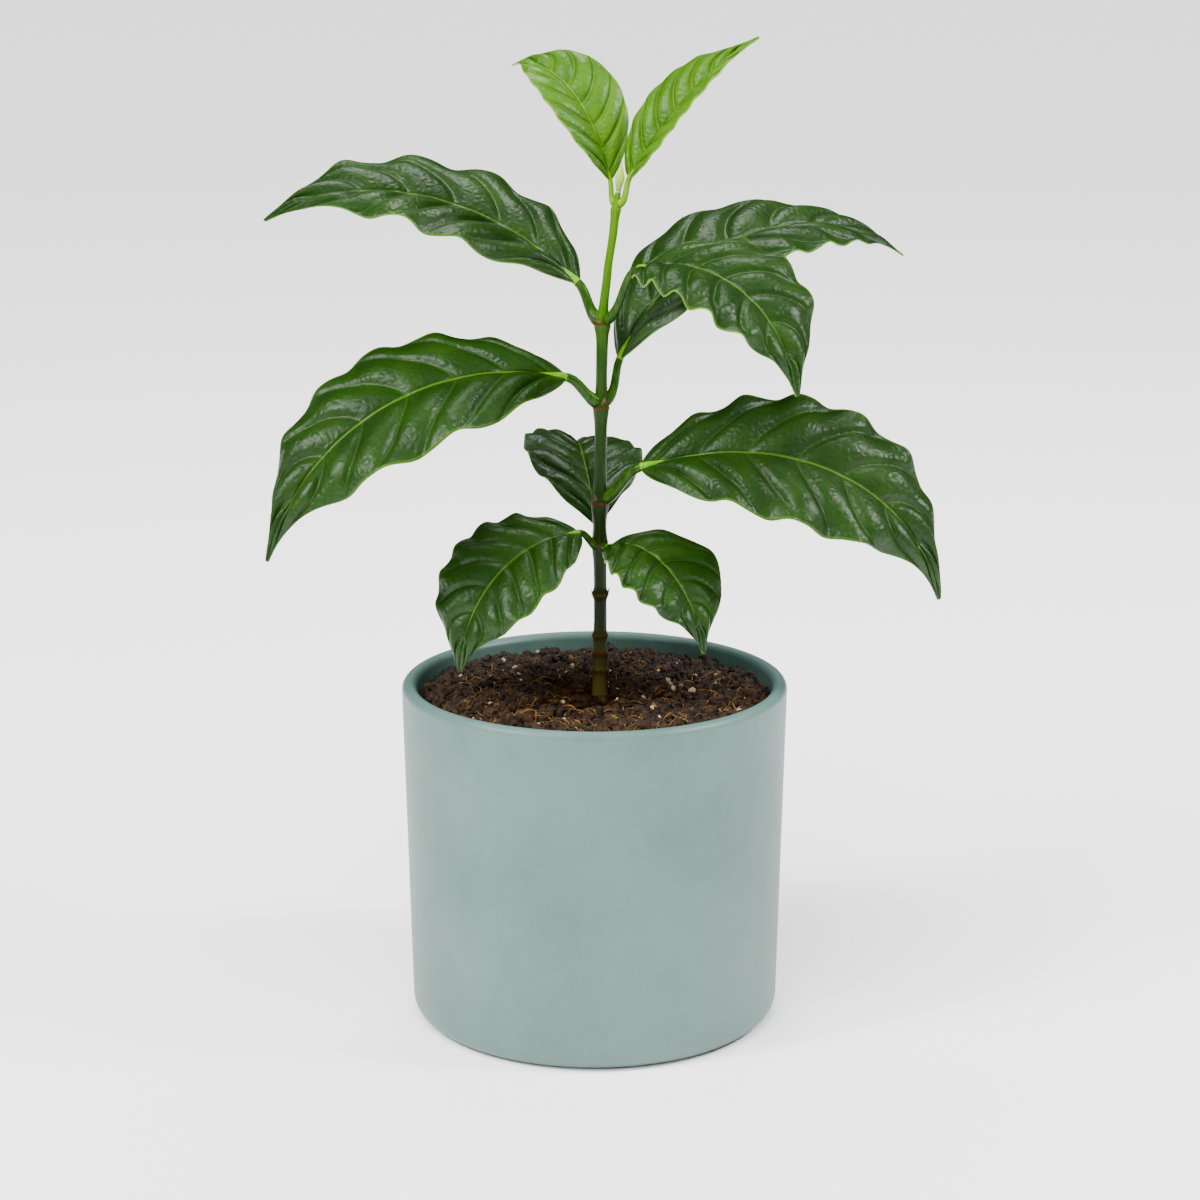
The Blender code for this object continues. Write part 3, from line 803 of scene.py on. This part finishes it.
def fibres(rng, look):
    pieces = []
    for _ in range(FIBRES):
        r = (SOIL_RADIUS - 0.008) * math.sqrt(rng.uniform(0.02, 1.0))
        a = rng.uniform(0, 2 * math.pi)
        heading = rng.uniform(0, 2 * math.pi)
        length = rng.uniform(0.004, 0.011)
        t = np.linspace(-0.5, 0.5, 9)
        bend = rng.uniform(-0.8, 0.8)
        x = r * math.cos(a) + length * (t * math.cos(heading) - bend * t * t * math.sin(heading))
        y = r * math.sin(a) + length * (t * math.sin(heading) + bend * t * t * math.cos(heading))
        if np.hypot(x - STEM_FOOT_X, y).min() < 0.0038:
            continue
        z = soil_height(x, y) + 0.0011 + 0.0008 * np.sin(t * rng.uniform(4, 9) + rng.uniform(0, 6))
        radii = rng.uniform(0.00010, 0.00024) * np.clip(1.3 - 2.0 * np.abs(t), 0.25, 1.0)
        pieces.append(tube("fibre", np.stack((x, y, z), 1), radii, np.repeat([(0.0, 0.0, 1.0)], 9, 0), 6))
    made = join(pieces[0], pieces[1:])
    made.name = "soil_fibres"
    made.data.materials.clear()
    made.data.materials.append(look)
    return made


def potting_mix():
    rng = np.random.default_rng(SEED)
    side_share = 0.12

    def place_of(along, v):
        a = v * 2 * math.pi
        top = np.clip((along - side_share) / (1.0 - side_share), 0.0, 1.0)
        radius = np.where(along < side_share, SOIL_RADIUS, SOIL_RADIUS * (1.0 - top) + 0.0001 * top)
        x = radius * np.cos(a) + top * STEM_FOOT_X
        y = radius * np.sin(a)
        rough = 0.0004 * (np.sin(x * 1900 + y * 700) + np.sin(y * 2100 - x * 900))
        rough = rough * smooth_step(0.004, 0.008, radius)
        side = np.clip(1.0 - along / side_share, 0.0, 1.0)
        return np.stack((x, y, soil_height(x, y) + rough - side * (SOIL_LEVEL - SOIL_FOOT)), 1)

    bed = sheet("soil_bed", 150, 220, place_of)
    only(bed)
    bpy.ops.object.mode_set(mode="EDIT")
    bpy.ops.mesh.select_all(action="SELECT")
    bpy.ops.mesh.remove_doubles(threshold=0.00002)
    bpy.ops.mesh.select_all(action="DESELECT")
    bpy.ops.mesh.select_non_manifold(extend=False)
    bpy.ops.mesh.fill_holes(sides=0)
    bpy.ops.mesh.select_all(action="SELECT")
    bpy.ops.mesh.normals_make_consistent(inside=False)
    bpy.ops.object.mode_set(mode="OBJECT")
    bed.data.shade_smooth()
    mix = soil_material("mix_look", (0.0025, 0.0012, 0.0005), (0.016, 0.0075, 0.0025), 420.0)
    bed.data.materials.append(mix)
    crumb = soil_material("crumb_look", (0.0035, 0.0015, 0.0006), (0.042, 0.019, 0.006), 240.0)
    gold = soil_material("fibre_look", (0.060, 0.028, 0.006), (0.260, 0.140, 0.035), 300.0)
    pale = soil_material("pale_bit_look", (0.20, 0.12, 0.05), (0.62, 0.50, 0.33), 500.0)
    loose = [strewn("soil_crumbs", CRUMBS, (0.0005, 0.0014), 0.35, rng, crumb, 0.45),
             strewn("soil_pale_bits", PALE_BITS, (0.0004, 0.0009), 0.30, rng, pale, 1.1),
             fibres(rng, gold)]
    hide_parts("potting_mix")
    for piece in (bed, *loose):
        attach(piece, "root")
    print("faces of the loose pieces:", [len(piece.data.polygons) for piece in loose])


potting_mix()

# %% [markdown]
# ## Floor, light and camera
# A plain pale floor under soft light. The sun and the world light the plant but stay out of
# reflections, to lessen a grey haze on the leaves. The camera stands as the photograph's.


# %% Stage
LIGHT_AIM = (0.0, 0.0, 0.18)
CAMERA_PLACE = (0.0017, -0.901, 0.3616)
CAMERA_DIP = 14.22
CAMERA_LENS = 90.0
CAMERA_SENSOR = 36.0


def area_light(name, place, size, power):
    bpy.ops.object.light_add(type="AREA", location=place)
    light = bpy.context.object
    light.name = name
    light.data.size = size
    light.data.energy = power
    aim = np.array(LIGHT_AIM) - np.array(place)
    light.rotation_euler = (math.atan2(math.hypot(aim[0], aim[1]), -aim[2]), 0.0,
                            math.atan2(aim[1], aim[0]) - math.pi / 2)


bpy.ops.object.select_all(action="DESELECT")
bpy.ops.mesh.primitive_plane_add(size=14.0)
floor = bpy.context.object
floor.name = "floor"
pale_floor, floor_shader, _ = new_material("floor_look")
feed(floor_shader, Base_Color=rgb(0.95, 0.95, 0.945), Roughness=0.8)
floor.data.materials.append(pale_floor)

area_light("left_box", (-1.00, -0.55, 1.15), 0.30, 24.0)
area_light("right_box", (1.07, -0.20, 1.10), 0.30, 24.0)
area_light("top_box", (0.0, 0.55, 1.35), 0.45, 11.0)
bpy.ops.object.light_add(type="SUN", location=(0.0, 0.0, 2.0))
sun = bpy.context.object
sun.name = "even_light"
sun.data.energy = 7.4
sun.visible_glossy = False
sun.data.angle = math.radians(60)
sun.rotation_euler = (math.radians(32), math.radians(-14), 0.0)

world = bpy.data.worlds.new("studio")
world.use_nodes = True
world.node_tree.nodes["Background"].inputs["Color"].default_value = rgb(1.0, 1.0, 1.0)
world.node_tree.nodes["Background"].inputs["Strength"].default_value = 0.30
world.cycles_visibility.glossy = False
bpy.context.scene.world = world

camera_data = bpy.data.cameras.new("camera")
camera_data.lens = CAMERA_LENS
camera_data.sensor_width = CAMERA_SENSOR
camera_data.clip_end = 40.0
camera = bpy.data.objects.new("camera", camera_data)
bpy.context.scene.collection.objects.link(camera)
camera.location = CAMERA_PLACE
camera.rotation_euler = (math.radians(90 - CAMERA_DIP), 0.0, 0.0)
bpy.context.scene.camera = camera

# %% The end
bpy.context.view_layer.update()
